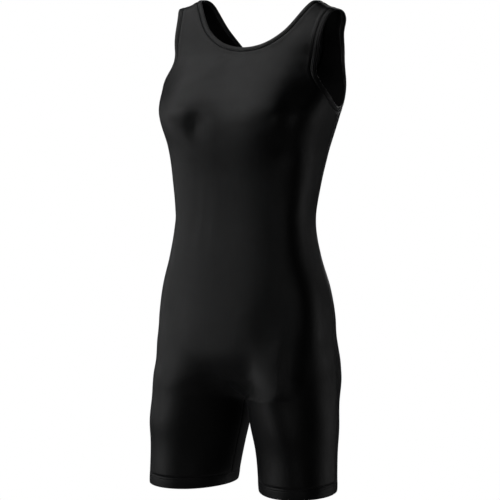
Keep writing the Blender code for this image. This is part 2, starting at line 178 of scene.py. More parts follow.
# Seams in the panels
DITCH_WIDTH = 0.0009  # the line of a seam
DITCH_DEPTH = (0.0007, 0.0004, 0.0010, 0.0006, 0.0006)  # side, armhole, neck, inseam, shoulder
EDGE_SHARES = (0.15, 0.30, 0.55)  # where the outermost cells are cut finer, for the ditches
WELT_HEIGHT, WELT_PLACE, WELT_WIDTH = 0.00030, 0.0045, 0.0026  # seam allowance under the cloth
PUCKER_HEIGHT, PUCKER_REACH, PUCKER_PITCH = 0.00016, 0.0070, 0.0085
PUCKER_DRIFT, DRIFT_LENGTH = 1.9, 3.7  # how far the puckers' spacing drifts, and over how many
SEAM_LIFT, LIFT_REACH = 0.0020, 0.010  # how the side seam stands proud of the sides
ALLOWANCE, ALLOWANCE_WALL = 0.0060, 0.0013  # an overlocked seam's allowance
ALLOWANCE_STEP, ALLOWANCE_SIDES = 0.0007, 10  # between its rings, and the points to a ring
HEM_GAP, BINDING_GAP = 4, 2  # how many of the grid's points it stops short of these
RIB_PITCH, RIB_SHARE = 0.0022, 0.12  # its thread's ribs, and how much they thicken it

# Bindings and hems in section: the face and underside's heights, and how far the face swells
BINDING_LEVELS = (0.0014, -0.0002, 0.0006)
HEM_LEVELS = (0.0015, 0.0, 0.0003)
FOLD_START = 0.93  # share of a strip's width where its face turns into the fold
UNDER_END = 0.02  # and where its underside ends, beside the seam
FACE_POINTS, FOLD_POINTS, UNDER_POINTS = 40, 9, 12
SWELL_SHARE, SWELL_POWER = 1.05, 0.7  # how soon a face's swell is over, and how blunt it is
STRIP_DITCH, STRIP_DITCH_WIDTH = 0.0004, 0.0006  # beside the panel
RIPPLE_HEIGHT, RIPPLE_PITCH = 0.00006, 0.0105
RIPPLE_DRIFT, RIPPLE_LENGTH = 1.3, 5  # how far the ripples' spacing drifts, and over how many

# Stitches
STITCH_PITCH, STITCH_LENGTH, THREAD = 0.0030, 0.0023, 0.00020
STITCH_DIP, DIP_WIDTH = 0.00028, 0.0006  # how a row of stitches draws the cloth in
STITCH_LIFT, STITCH_SINK = 0.00012, 0.00022  # over the cloth in mid stitch, and down at its ends
STITCH_SIDES, STITCH_RINGS = 6, 5
THINNEST = 0.05  # least share of a stitch's squared thickness, at its ends
NEEDLE_GAUGE = 0.0032  # between a twin needle's two rows
HEM_TOP_ROW = 0.0012  # below the hem's top
NECK_ROW, ARMHOLE_ROW = 0.0016, 0.0022  # beyond the seam
LOOPER_REACH, LOOPER_DROP = 0.0006, 0.0002  # past the needle rows, and below the underside
LOOPER_THREAD = 0.9 * THREAD
ROW_AHEAD = 0.0005  # how far along a row its direction is taken

FRONT, BACK = -1, 1
MIRROR = np.array([-1.0, 1.0, 1.0])
FINE = 40  # points to each row of a cut line's table
DENSE = 400  # points to a line that is searched or respaced
NEAR_STEP = 0.001  # between the points that a distance to a line is measured to
HALVINGS = 36
TINY = 1e-6


# ---- the figure ----

def along(table, t):
    """A table's values at t, from a smooth curve through its rows. Column 0 is the parameter."""
    table = table[np.argsort(table[:, 0])]
    knots, values = table[:, 0], table[:, 1:]
    t = np.clip(np.asarray(t, float), knots[0], knots[-1])
    slopes = np.gradient(values, knots, axis=0)
    i = np.clip(np.searchsorted(knots, t) - 1, 0, len(knots) - 2)
    step = (knots[i + 1] - knots[i])[..., None]
    s = (t - knots[i])[..., None] / step
    low = values[i] * (1 + 2 * s) * (1 - s) ** 2 + slopes[i] * step * s * (1 - s) ** 2
    high = values[i + 1] * (3 - 2 * s) * s**2 - slopes[i + 1] * step * s**2 * (1 - s)
    return low + high


def ease(start, end, value):
    """0 before start, 1 after end, and smooth between: 3 s^2 - 2 s^3."""
    s = np.clip((value - start) / (end - start), 0, 1)
    return s * s * (3 - 2 * s)


def lobe(offset, before, after):
    """1 at 0, falling off by one spread before it and another after it."""
    spread = before + (after - before) * ease(-BUST_SOFT, BUST_SOFT, offset)
    return np.exp(-((offset / spread) ** 2))


def bust(x, z):
    """How far the bust adds to the front depth."""
    lobes = sum(lobe(side * x - BUST_X, BUST_INNER, BUST_OUTER) for side in (-1, 1))
    return BUST_DEPTH * lobes * lobe(z - BUST_Z, BUST_BELOW, BUST_ABOVE)


def torso(x, y, z):
    """Distance outside the trunk: a superellipse section, rounded over at both ends."""
    half, middle, front, back, *squares = np.moveaxis(along(TRUNK, z), -1, 0)
    lift = np.maximum(z - SHOULDER_AXIS, 0)
    drop = np.maximum(SEAT_AXIS - z, 0)
    depth = y - middle
    bulge = bust(x, z) * ease(0, BUST_START, -depth / front)
    wall = np.where(depth < 0, front + bulge, back)
    square = np.where(depth < 0, *squares)
    place, spread, dip = STRAP_DIP
    rise = SHOULDER_RISE - dip * np.exp(-(((np.abs(x) - place) / spread) ** 2))
    flat = (np.abs(x / half) ** square + np.abs(depth / wall) ** square) ** (2 / square)
    fall = SEAT_DROP + (SEAT_DROP_BACK - SEAT_DROP) * ease(0, SEAT_DEPTH, depth)
    share = np.sqrt(flat + (lift / rise) ** 2 + (drop / fall) ** 2)
    return np.sqrt(x**2 + depth**2 + lift**2 + drop**2) * (1 - 1 / np.maximum(share, TINY))


def leg(x, y, z):
    """Distance outside the nearer leg: a circle, longer along a diagonal, fuller behind."""
    centre_x, centre_y, radius, oval, seat_depth = np.moveaxis(along(LEG, z), -1, 0)
    dx, dy = np.abs(x) - centre_x, y - centre_y
    away = np.maximum(np.hypot(dx, dy), TINY)
    stretch = -2 * dx * dy / away**2
    return away - radius * (1 + oval * stretch) - seat_depth * (np.maximum(dy, 0) / away) ** 2


def figure(points):
    """Distance outside the whole figure: the smaller of trunk and legs, softly joined."""
    x, y, z = np.moveaxis(points, -1, 0)
    trunk, limb = torso(x, y, z), leg(x, y, z)
    near = np.maximum(LEG_BLEND - np.abs(trunk - limb), 0) / LEG_BLEND
    joined = np.minimum(trunk, limb) - near**2 * LEG_BLEND / 4
    return np.where(z < LEG_TOP, joined, trunk)


def reach(start, direction, far=0.35):
    """Where a ray from inside leaves the figure, no farther than the plane x = 0, by halving."""
    direction = direction / np.linalg.norm(direction, axis=-1, keepdims=True)
    inward = -direction[..., :1]
    to_middle = start[..., :1] / np.maximum(inward, TINY)
    high = np.where(inward > TINY, np.minimum(to_middle, far), far)
    low = np.zeros_like(high)
    for _ in range(HALVINGS):
        middle = (low + high) / 2
        outside = figure(start + middle * direction)[..., None] > 0
        high = np.where(outside, middle, high)
        low = np.where(outside, low, middle)
    return start + low * direction


def normals(points, step=0.0004):
    """The figure's unit normals at points on it: the slope of its distance."""
    slope = [figure(points + d) - figure(points - d) for d in step * np.eye(3)]
    slope = np.stack(slope, -1)
    return slope / np.linalg.norm(slope, axis=-1, keepdims=True)


def core(z):
    """The line that rows are seen from: the trunk's middle, and lower down the leg's."""
    own = ease(*CORE_FORK, z)
    leg_x, leg_y = np.moveaxis(along(LEG, z)[..., :2], -1, 0)
    return np.stack([own * leg_x, (1 - own) * along(TRUNK, z)[..., 1] + own * leg_y, z], -1)


def seat(points):
    """Points near the upper figure put on it, as seen from its core."""
    x, _, z = np.moveaxis(points, -1, 0)
    axis = np.minimum(z, SHOULDER_AXIS)
    start_x = CORE_SPREAD * ease(CHEST, SHOULDER_AXIS, z) * x
    start = np.stack([start_x, along(TRUNK, axis)[..., 1], axis], -1)
    return reach(start, points - start)


# ---- the cut lines ----

def cut_line(before, rows, after):
    """A dense smooth line through rows, on the figure. before and after are the next rows."""
    rows = np.vstack([before, rows, after])
    run = np.cumsum(np.linalg.norm(np.diff(rows, axis=0), axis=1))
    run = np.concatenate([[0], run])
    stretches = [np.linspace(a, b, FINE, endpoint=False) for a, b in zip(run[1:-2], run[2:-1])]
    return seat(along(np.column_stack([run, rows]), np.concatenate(stretches + [run[-2:-1]])))


def into_cloth(line, first, last):
    """Directions along the figure at right angles to a line. first and last are its ends'."""
    tangent = np.gradient(line, axis=0)
    tangent[0], tangent[-1] = first, last
    across = np.cross(tangent, normals(line))
    return across / np.linalg.norm(across, axis=1, keepdims=True)


def spaced(count, crowding=0.0):
    """Count shares from 0 to 1, even or crowded towards both ends."""
    t = np.linspace(0, 1, count)
    return t - crowding * np.sin(2 * math.pi * t) / (2 * math.pi)


def run_of(line):
    """The distance along a line at each of its points."""
    return np.concatenate([[0], np.cumsum(np.linalg.norm(np.diff(line, axis=0), axis=1))])


def evenly(lines, count, crowding=0.0):
    """The same count places on each of these lines, spaced along the last one."""
    run = run_of(lines[-1])
    places = run[-1] * spaced(count, crowding)
    return [np.stack([np.interp(places, run, c) for c in line.T], -1) for line in lines]


def neck_edges(side):
    """The neck's finished edge and seam on one side of the shoulder, from the centre line."""
    line = cut_line(NECK[1] * MIRROR, NECK, NECK[-2] * MIRROR)
    lines = [line, seat(line + NECK_BAND * into_cloth(line, (1, 0, 0), (-1, 0, 0)))]
    at = NECK_POINT * FINE
    lines = [part[: at + 1] if side == FRONT else part[at:][::-1] for part in lines]
    return evenly(lines, STRAP_ROWS + 1)


def armhole_edges(side):
    """The armhole's finished edge and seam on one side of the shoulder, from the underarm."""
    line = cut_line(ARMHOLE[-1], np.vstack([ARMHOLE, ARMHOLE[:1]]), ARMHOLE[1])
    meet = line[1] - line[-2]
    lines = [line, seat(line - ARMHOLE_BAND * into_cloth(line, meet, meet))]
    at = ARMHOLE_TIP * FINE
    lines = [part[: at + 1] if side == FRONT else part[at:][::-1] for part in lines]
    return evenly(lines, STRAP_ROWS + 1)


def side_seam(z):
    """Points of the left side seam at heights z."""
    start = np.stack([0 * z, along(SIDE_SEAM, z)[..., 0], z], -1)
    return reach(start, np.broadcast_to([1.0, 0, 0], start.shape))


def crotch():
    """The lowest point of the figure between its legs."""
    y = np.linspace(*CROTCH_Y, DENSE)
    start = np.stack([0 * y, y, 0 * y + CROTCH_CORE], -1)
    points = reach(start, np.broadcast_to([0, 0, -1.0], start.shape))
    return points[np.argmin(points[:, 2])]


def centre_line(side, z, fork):
    """Points of the front's or back's centre line at heights z above the crotch, fork."""
    trunk_y = along(TRUNK, z)[..., 1]
    start_y = trunk_y + ease(*CENTRE_FORK, z) * (fork[1] - trunk_y)
    start = np.stack([0 * z, start_y, z], -1)
    return reach(start, np.broadcast_to([0.0, side, 0], start.shape))


def inseam(z, fork):
    """Points of the left inseam at heights z below the crotch, fork."""
    start = core(z)
    down = np.clip((fork[2] - z) / (fork[2] - HEM), 0, 1)
    start[..., 1] = fork[1] + down * (start[..., 1] - fork[1])
    return reach(start, np.broadcast_to([-1.0, 0, 0], start.shape))


FORK = crotch()


# ---- the cloth's grids ----

def rows_across(outer, inner, side, dip, sag):
    """Rows of points from outer points at the side to inner ones, seen from the core.

    Angles run evenly. Heights ease from one end's to the other's, less sag times the hump
    u (1 - u)^2 near the side, and are dip lower in mid row at the front, and higher at the back.
    """
    hump_height = 4 / 27
    u = np.linspace(0, 1, COLUMNS + 1)
    z = outer[:, None, 2] + (inner - outer)[:, None, 2] * ease(0, 1, u)
    z = z - sag[:, None] * u * (1 - u) ** 2 / hump_height
    angles = []
    for ends in (outer, inner):
        away = ends - core(ends[:, 2])
        angles.append(np.arctan2(side * away[:, 1], away[:, 0]) % (2 * math.pi))
    first = np.where(angles[0] > math.pi, angles[0] - 2 * math.pi, angles[0])
    angle = first[:, None] * (1 - u) + angles[1][:, None] * u
    z = z + side * dip[:, None] * np.sin(angle)
    points = reach(core(z), np.stack([np.cos(angle), side * np.sin(angle), 0 * z], -1))
    points[:, 0], points[:, -1] = outer, inner
    return points


def patch(bottom, top, outer, inner):
    """A grid between four edges on the upper figure: straight rows between outer and inner,
    bent like the bottom and top near those, and put on the figure."""
    u = np.linspace(0, 1, len(bottom))[None, :, None]
    v = np.linspace(0, 1, len(outer))[:, None, None]
    rows = outer[:, None] * (1 - u) + inner[:, None] * u
    for row, weight in ((bottom, (1 - v) ** 2), (top, v**2)):
        rows = rows + weight * (row - row[0] * (1 - u) - row[-1] * u)
    return seat(rows)


def half_panel(side):
    """The left half of the front or back: rows from the hem to the shoulder seam, each from
    the side seam or armhole to the inseam, centre line or neck."""
    neck, armhole = neck_edges(side)[-1], armhole_edges(side)[-1]
    bottom = HEM + HEM_DEPTH
    s = np.linspace(0, 1, DENSE)
    leg_edge = inseam(FORK[2] - (FORK[2] - bottom) * s[::-1] ** 2, FORK)
    body_edge = centre_line(side, FORK[2] + (neck[0, 2] - FORK[2]) * s**2, FORK)
    leg_z = evenly([leg_edge], LEG_ROWS + 1)[0][:-1, 2]
    body_z = evenly([body_edge], BODY_ROWS + 1, ROW_CROWDING)[0][1:, 2]
    inner = np.vstack([inseam(leg_z, FORK), FORK, centre_line(side, body_z, FORK)])
    level = FORK[2] + SIDE_RISE
    seam_z = np.linspace(bottom, level, LEG_ROWS + 1)
    upward = spaced(BODY_ROWS + 1, ROW_CROWDING)[1:]
    seam_z = np.append(seam_z, level + (armhole[0, 2] - level) * upward)
    outer = side_seam(seam_z)
    outer[-1], inner[-1] = armhole[0], neck[0] * (0, 1, 1)
    dip = HEM_DIP * np.append(np.linspace(1, 0, LEG_ROWS + 1) ** 2, np.zeros(BODY_ROWS))
    hang = np.append(np.zeros(LEG_ROWS), np.linspace(0, 1, BODY_ROWS + 1) ** 2)
    sag = ROW_SAG[side == BACK] * hang
    lower = rows_across(outer, inner, side, dip, sag)

    across = np.linspace(0, 1, COLUMNS + 1)[:, None]
    shoulder = seat(armhole[-1] + (neck[-1] - armhole[-1]) * across)
    upper = patch(lower[-1], shoulder, armhole, neck)
    upper[-1], upper[:, 0], upper[:, -1] = shoulder, armhole, neck
    return np.vstack([lower, upper[1:]])


def finer_edges(grid):
    """The grid with more columns in its two outermost cells, where the seams' ditches lie."""
    share = np.array(EDGE_SHARES)[:, None]
    first = grid[:, :1] * (1 - share) + grid[:, 1:2] * share
    last = grid[:, -1:] * (1 - share[::-1]) + grid[:, -2:-1] * share[::-1]
    return np.concatenate([grid[:, :1], first, grid[:, 1:-1], last, grid[:, -1:]], axis=1)


def hem_line(height):
    """Points round the left leg at the hem's slope, from the side seam past the front."""
    z = np.array([height])
    halves = [
        rows_across(side_seam(z), inseam(z, FORK), side, np.array([HEM_DIP]), 0 * z)[0]
        for side in (FRONT, BACK)
    ]
    return np.vstack([halves[0][:-1], halves[1][:0:-1]])


# ---- relief: seams, puckers and soft creases ----

def nearest(points, line):
    """Each point's distance to a line, and how far along the line that is."""
    run = run_of(line)
    places = np.linspace(0, run[-1], max(int(run[-1] / NEAR_STEP), 2))
    dense = np.stack([np.interp(places, run, c) for c in line.T], -1)
    flat = points.reshape(-1, 3)
    square = (flat**2).sum(1)[:, None] + (dense**2).sum(1) - 2 * flat @ dense.T
    index = square.argmin(1)
    gap = np.linalg.norm(flat - dense[index], axis=1)
    return gap.reshape(points.shape[:-1]), places[index].reshape(points.shape[:-1])


def bell(value, width):
    """1 at 0, falling off like a bell of this half width."""
    return np.exp(-((value / width) ** 2))


def seam_relief(points, line, phase, depth):
    """A seam's ditch, the low welt of its allowance beside it, and small puckers along it."""
    gap, run = nearest(points, line)
    turns = 2 * math.pi * run / PUCKER_PITCH
    wave = np.sin(turns + PUCKER_DRIFT * np.sin(turns / DRIFT_LENGTH + phase) + phase)
    pucker = PUCKER_HEIGHT * wave * np.exp(-gap / PUCKER_REACH)
    welt = WELT_HEIGHT * bell(gap - WELT_PLACE, WELT_WIDTH)
    return welt + pucker - depth * bell(gap, DITCH_WIDTH)


# Soft creases in the worn cloth. across is the distance from the centre line along the cloth,
# positive to the wearer's left; angle is from level, in degrees; depth is negative for a ridge.
# across, height, angle, length, width, depth
FRONT_CREASES = np.array([
    (0.000, -0.182, 0, 0.280, 0.028, 0.0055),
    (0.000, -0.232, 0, 0.280, 0.030, -0.0035),
    (-0.048, -0.198, 0, 0.044, 0.022, 0.0058),
    (0.145, -0.185, 75, 0.090, 0.018, 0.0036),
    (0.122, -0.238, 0, 0.044, 0.022, 0.0050),
    (0.090, -0.510, 72, 0.130, 0.028, 0.0055),
    (-0.090, -0.510, -72, 0.130, 0.028, 0.0015),
    (0.045, -0.605, 85, 0.090, 0.018, 0.0036),
    (-0.048, -0.572, -50, 0.070, 0.016, 0.0010),
    (0.142, -0.665, 105, 0.260, 0.028, -0.0045),
    (0.000, -0.600, 0, 0.150, 0.012, -0.0010),
    (-0.060, -0.330, 84, 0.150, 0.012, 0.0006),
    (-0.038, -0.350, 88, 0.120, 0.010, 0.0004),
    (0.128, -0.345, 12, 0.060, 0.010, 0.0006),
    (-0.128, -0.350, -12, 0.060, 0.010, 0.0006),
])
BACK_CREASES = np.array([
    (0.000, -0.350, 0, 0.130, 0.011, 0.0013),
    (0.030, -0.372, 3, 0.120, 0.010, 0.0010),
    (-0.030, -0.328, -4, 0.110, 0.010, 0.0010),
    (0.090, -0.345, 14, 0.080, 0.010, 0.0009),
    (-0.090, -0.352, -14, 0.080, 0.010, 0.0009),
    (0.075, -0.615, -10, 0.110, 0.012, 0.0013),
    (-0.075, -0.615, 10, 0.110, 0.012, 0.0013),
    (0.020, -0.585, 60, 0.060, 0.009, 0.0008),
    (-0.020, -0.585, -60, 0.060, 0.009, 0.0008),
    (0.120, -0.215, -40, 0.080, 0.012, 0.0008),
    (-0.120, -0.215, 40, 0.080, 0.012, 0.0008),
])


def crease_relief(across, height, creases):
    """Long soft troughs: bells across each crease times bells along it."""
    relief = np.zeros_like(across)
    for place, level, angle, length, width, depth in creases:
        turn = math.radians(angle)
        dx, dz = across - place, height - level
        along_it = dx * math.cos(turn) + dz * math.sin(turn)
        off_it = dz * math.cos(turn) - dx * math.sin(turn)
        relief -= depth * bell(along_it, length / 2) * bell(off_it, width)
    return relief


# ---- making meshes ----

def quads(rows, columns, wrap_rows=False, wrap_columns=False):
    """Faces of a grid of points, numbered row by row."""
    i = np.arange(rows if wrap_rows else rows - 1)[:, None]
    j = np.arange(columns if wrap_columns else columns - 1)[None, :]
    below, right = (i + 1) % rows, (j + 1) % columns
    faces = (i * columns + j, i * columns + right, below * columns + right, below * columns + j)
    return np.stack(faces, -1).reshape(-1, 4)


def make_piece(name, points, faces, material, uv=None, merge=False, lining=None):
    """One smooth shaded mesh, its faces out, riding on the garment's one body. lining is a
    second material and which faces have it."""
    mesh = bpy.data.meshes.new(name)
    mesh.from_pydata(points.tolist(), [], faces.tolist())
    if lining is not None:
        mesh.polygons.foreach_set("material_index", lining[1].astype(np.int32))
    if uv is not None:
        layer = mesh.uv_layers.new(name="cloth")
        corners = uv[faces.ravel()]
        layer.data.foreach_set("uv", corners.astype(np.float32).ravel())
    bm = bmesh.new()
    bm.from_mesh(mesh)
    if merge:
        bmesh.ops.remove_doubles(bm, verts=bm.verts, dist=TINY)
    bmesh.ops.recalc_face_normals(bm, faces=bm.faces)
    bm.to_mesh(mesh)
    bm.free()
    mesh.shade_smooth()
    mesh.materials.append(material)
    if lining is not None:
        mesh.materials.append(lining[0])
    piece = bpy.data.objects.new(name, mesh)
    bpy.context.scene.collection.objects.link(piece)
    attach(piece, "root")
    return piece


def panel(name, node, side, creases, material, inner_face_shade):
    """The front or back, both halves in one mesh: two skins with the seams' and creases'
    relief, joined round their edges. The inner skin's darker colour is painted shade."""
    half = finer_edges(half_panel(side))
    rows, columns = half.shape[:2]
    below = LEG_ROWS + BODY_ROWS + 1
    steps = np.linalg.norm(np.diff(half, axis=1), axis=2)
    from_inner = np.cumsum(steps[:, ::-1], axis=1)[:, ::-1]
    from_inner = np.column_stack([from_inner, np.zeros(rows)])
    across = from_inner + half[:, -1:, 0]
    up = np.concatenate([[0], np.cumsum(np.linalg.norm(np.diff(half, axis=0), axis=2).mean(1))])

    lines = [half[:below, 0], half[below - 1:, 0], half[below - 1:, -1],
             half[:LEG_ROWS + 1, -1], half[-1]]
    relief = sum(
        seam_relief(half, line, phase, depth)
        for phase, (line, depth) in enumerate(zip(lines, DITCH_DEPTH))
    )
    relief += SEAM_LIFT * np.exp(-nearest(half, lines[0])[0] / LIFT_REACH)
    out = normals(half)
    points, uv = [], []
    for mirror in (1, -1):
        flip = np.array([mirror, 1.0, 1.0])
        soft = crease_relief(mirror * across, half[..., 2], creases)
        for level in (WALL_OUT, WALL_IN):
            lifted = half + out * (level + relief + soft)[..., None]
            lifted[LEG_ROWS:below, -1, 0] = 0  # so that both halves meet down the centre
            points.append((lifted * flip).reshape(-1, 3))
            uv.append(np.stack([mirror * across, 0 * across + up[:, None]], -1).reshape(-1, 2))
    skin = quads(rows, columns)
    count = rows * columns
    grid = np.arange(count).reshape(rows, columns)
    rims = [grid[:, 0], grid[-1], grid[below - 1:, -1][::-1], grid[:LEG_ROWS + 1, -1], grid[0]]
    faces, inside = [], []
    for k in (0, 2):
        faces += [skin + k * count, skin + (k + 1) * count]
        # The inner skin takes the second, darker material: painted shade for the garment's inside
        inside += [np.zeros(len(skin)), np.ones(len(skin))]
        for rim in rims:
            a, b = rim[:-1] + k * count, rim[1:] + k * count
            faces.append(np.stack([a, b, b + count, a + count], -1))
            inside.append(np.zeros(len(a)))
    piece = make_piece(name, np.vstack(points), np.vstack(faces), material,
                       np.vstack(uv), merge=True, lining=(inner_face_shade, np.concatenate(inside)))
    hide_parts(node)
    return piece


def closed_run(line):
    """The distance along a closed line at each of its points, the distance all round, and
    the line with its first point repeated at its end."""
    loop = np.vstack([line, line[:1]])
    run = run_of(loop)
    return run[:-1], run[-1], loop


def band_section(width, rows, face, under, puff):
    """A folded strip in section: its face from the seam to the fold, round the fold, and back
    underneath. The face swells by puff and dips beside the panel and along each row of stitches.
    Column 0 is the share of the width, and column 1 the height off the figure."""
    t = np.linspace(0, FOLD_START, FACE_POINTS)
    swell = np.sin(math.pi * np.clip(t * SWELL_SHARE, 0, 1)) ** SWELL_POWER
    out = face + puff * swell - STRIP_DITCH * bell(t * width, STRIP_DITCH_WIDTH)
    for row in rows:
        out = out - STITCH_DIP * bell(t * width - row, DIP_WIDTH)
    turn = np.linspace(0, math.pi, FOLD_POINTS + 2)[1:-1]
    middle, radius = (out[-1] + under) / 2, (out[-1] - under) / 2
    round_fold = FOLD_START + (1 - FOLD_START) * np.sin(turn)
    fold = np.stack([round_fold, middle + radius * np.cos(turn)], -1)
    back = np.linspace(FOLD_START, UNDER_END, UNDER_POINTS)
    underside = np.stack([back, under + 0 * back], -1)
    return np.vstack([np.stack([t, out], -1), fold, underside])


def band_points(seam, edge, section, ripple):
    """The section carried along a band: between its seam and edge, out along the normals."""
    across, out = section[:, :1], section[:, 1:]
    low, high = seam[:, None], edge[:, None]
    lean = normals(low) * (1 - across) + normals(high) * across
    lift = out + ripple[:, None, None] * across * (out > 0)
    return low * (1 - across) + high * across + lift * lean


def on_band(seam, edge, width, place, out, count):
    """Count places round a band, this far beyond its seam and this far out, with the
    directions forward along the band and out of it."""
    share = place / width
    line = seam * (1 - share) + edge * share
    lean = normals(seam) * (1 - share) + normals(edge) * share
    line = line + out * lean
    run, whole, loop = closed_run(line)
    places = (np.arange(count) + 0.5) * whole / count
    marks = np.append(run, whole)
    lean = np.vstack([lean, lean[:1]])
    at = np.stack([np.interp(places, marks, c) for c in loop.T], -1)
    lift = np.stack([np.interp(places, marks, c) for c in lean.T], -1)
    ahead = np.stack([np.interp((places + ROW_AHEAD) % whole, marks, c) for c in loop.T], -1)
    forward = ahead - at
    forward /= np.linalg.norm(forward, axis=1, keepdims=True)
    return at, forward, lift / np.linalg.norm(lift, axis=1, keepdims=True)


def stitches(at, forward, lift):
    """Short threads lying along a row, each a rounded tube that dives at both ends."""
    sides, rings = STITCH_SIDES, STITCH_RINGS
    s = np.linspace(-1, 1, rings)
    fat = THREAD * np.sqrt(np.clip(1 - s**4, THINNEST, 1))
    sink = -STITCH_SINK * s**2
    turn = np.arange(sides) * 2 * math.pi / sides
    beside = np.cross(forward, lift)
    ring = (fat[:, None] * np.cos(turn), fat[:, None] * np.sin(turn))
    points = (
        at[:, None, None]
        + (s * STITCH_LENGTH / 2)[None, :, None, None] * forward[:, None, None]
        + (sink[:, None] + ring[1])[None, ..., None] * lift[:, None, None]
        + ring[0][None, ..., None] * beside[:, None, None]
    )
    one = quads(rings, sides, wrap_columns=True)
    caps = np.array([[0, 1, 2, 3], [0, 3, 4, 5]])  # of a ring of 6 points
    one = np.vstack([one, caps, caps[:, ::-1] + (rings - 1) * sides])
    faces = one[None] + (np.arange(len(at)) * rings * sides)[:, None, None]
    return points.reshape(-1, 3), faces.reshape(-1, 4)


def looper(seam, edge, width, rows, under, count):
    """The cover stitch's looping thread on the inside: a square tube that zigzags between the
    needle rows."""
    low = on_band(seam, edge, width, rows[0] - LOOPER_REACH, under, count * 2)
    high = on_band(seam, edge, width, rows[1] + LOOPER_REACH, under, count * 2)
    zig = (np.arange(count * 2) % 2)[:, None]
    at = low[0] * (1 - zig) + high[0] * zig
    lift = low[2]
    ahead = np.roll(at, -1, axis=0) - np.roll(at, 1, axis=0)
    beside = np.cross(ahead, lift)
    beside /= np.linalg.norm(beside, axis=1, keepdims=True)
    corner = LOOPER_THREAD * np.array([(1, 1), (-1, 1), (-1, -1), (1, -1)])
    points = at[:, None] + corner[:, :1] * beside[:, None] + corner[:, 1:] * lift[:, None]
    return points.reshape(-1, 3), quads(count * 2, 4, wrap_rows=True, wrap_columns=True)


def trim_band(name, node, seam, edge, width, rows, section, cloth, thread, mirror=1):
    """A binding or hem: its folded strip, its rows of stitches and the looper inside."""
    flip = np.array([mirror, 1.0, 1.0])
    run, whole, _ = closed_run(edge)
    turns = 2 * math.pi * np.round(whole / RIPPLE_PITCH) * run / whole
    ripple = RIPPLE_HEIGHT * np.sin(turns + RIPPLE_DRIFT * np.sin(turns / RIPPLE_LENGTH))
    points = band_points(seam, edge, section, ripple)
    uv = np.stack(np.broadcast_arrays(section[:, 0] * width, run[:, None]), -1).reshape(-1, 2)
    faces = quads(*points.shape[:2], True, True)
    piece = make_piece(name, points.reshape(-1, 3) * flip, faces, cloth, uv)
    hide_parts(node)
    count = int(whole / STITCH_PITCH)
    level = np.interp(rows, section[:FACE_POINTS, 0] * width, section[:FACE_POINTS, 1])
    parts = [
        stitches(*on_band(seam, edge, width, row, out + STITCH_LIFT, count))
        for row, out in zip(rows, level)
    ]
    if len(rows) == 2:
        under = section[-1, 1] - LOOPER_DROP
        parts.append(looper(seam, edge, width, rows, under, count))
    starts = np.cumsum([0] + [len(part_points) for part_points, _ in parts])
    all_points = np.vstack([part_points for part_points, _ in parts])
    all_faces = np.vstack([part_faces + start for (_, part_faces), start in zip(parts, starts)])
    sewing = make_piece(name + "_stitching", all_points * flip, all_faces, thread)
    return piece, sewing


def allowance(name, line, side, cloth, mirror=1):
    """A seam's overlocked allowance: a low rounded strip on the inside, turned to one side of
    the seam line, its thread making ribs along it."""
    line = evenly([line], int(run_of(line)[-1] / ALLOWANCE_STEP))[0]
    out = normals(line)
    tangent = np.gradient(line, axis=0)
    beside = side * np.cross(tangent, out)
    beside /= np.linalg.norm(beside, axis=1, keepdims=True)
    turn = np.arange(ALLOWANCE_SIDES) * 2 * math.pi / ALLOWANCE_SIDES
    ribs = 1 + RIB_SHARE * np.sin(run_of(line) * 2 * math.pi / RIB_PITCH)
    flat = (0.5 + 0.5 * np.cos(turn))[None, :] * ALLOWANCE
    thick = 0.5 * ALLOWANCE_WALL * np.sin(turn)[None, :] * ribs[:, None]
    middle = WALL_IN - 0.5 * ALLOWANCE_WALL
    height = (middle + thick)[..., None]
    points = line[:, None] + flat[..., None] * beside[:, None] + height * out[:, None]
    rows, columns = points.shape[:2]
    faces = quads(rows, columns, wrap_columns=True)
    caps = np.array([[0, 1, 2, 9], [2, 3, 8, 9], [3, 4, 7, 8], [4, 5, 6, 7]])  # of 10 points
    faces = np.vstack([faces, caps[:, ::-1], caps + (rows - 1) * columns])
    return make_piece(name, points.reshape(-1, 3) * np.array([mirror, 1.0, 1.0]), faces, cloth)


# ---- finishes ----

def linear(hex_colour):
    """An sRGB hex colour as linear red, green and blue, with full alpha."""
    srgb = np.array([int(hex_colour[i:i + 2], 16) for i in (1, 3, 5)]) / 255
    value = np.where(srgb <= 0.04045, srgb / 12.92, ((srgb + 0.055) / 1.055) ** 2.4)
    return (*value.tolist(), 1.0)


def add_node(tree, kind, links=(), **settings):
    """A node of this kind. Settings are its properties or, where it has none of that name, its
    inputs; links are (input, node, output)."""
    node = tree.nodes.new(kind)
    for key, value in settings.items():
        if hasattr(node, key):
            setattr(node, key, value)
        else:
            node.inputs[key.replace("_", " ")].default_value = value
    for socket, source, output in links:
        tree.links.new(node.inputs[socket], source.outputs[output])
    return node


def new_material(name, **settings):
    """A new material, its node tree and its main shader, with these inputs of the shader set."""
    material = bpy.data.materials.new(name)
    material.use_nodes = True
    tree = material.node_tree
    shader = tree.nodes["Principled BSDF"]
    for key, value in settings.items():
        shader.inputs[key.replace("_", " ")].default_value = value
    return material, tree, shader


# A knit's wales, the columns of its loops, are drawn about 3 times as far apart as the real
# 0.4 mm, because those are too fine to show.
BODY_WALE, BAND_WALE = 0.0013, 0.0011
COURSE_SHARE = 0.8  # the rows of loops lie closer together than the columns
RIB_DEPTH, RIB_STRENGTH = 0.00012, 0.35
WAVE_PERIOD = 2 * math.pi / 20  # a wave texture's at scale 1
MOTTLE_SCALE = 38.0  # soft patches about 25 mm wide
DRAG_LINE_SCALE = (230, 230, 9)  # faint upright lines, about 4 mm wide and 110 mm long
MOTTLE_RANGE = (0.75, 1.25)  # where the sum of those two patterns mostly lies
KNIT_BLACK = "#0b0c0e"  # its dye at its darkest
KNIT_ROUGHNESS, GLOSS_CHANGE = 0.42, 0.04
SHEEN_ROUGHNESS, SHEEN_TINT, KNIT_SPECULAR = 0.45, "#e9edf2", 0.6


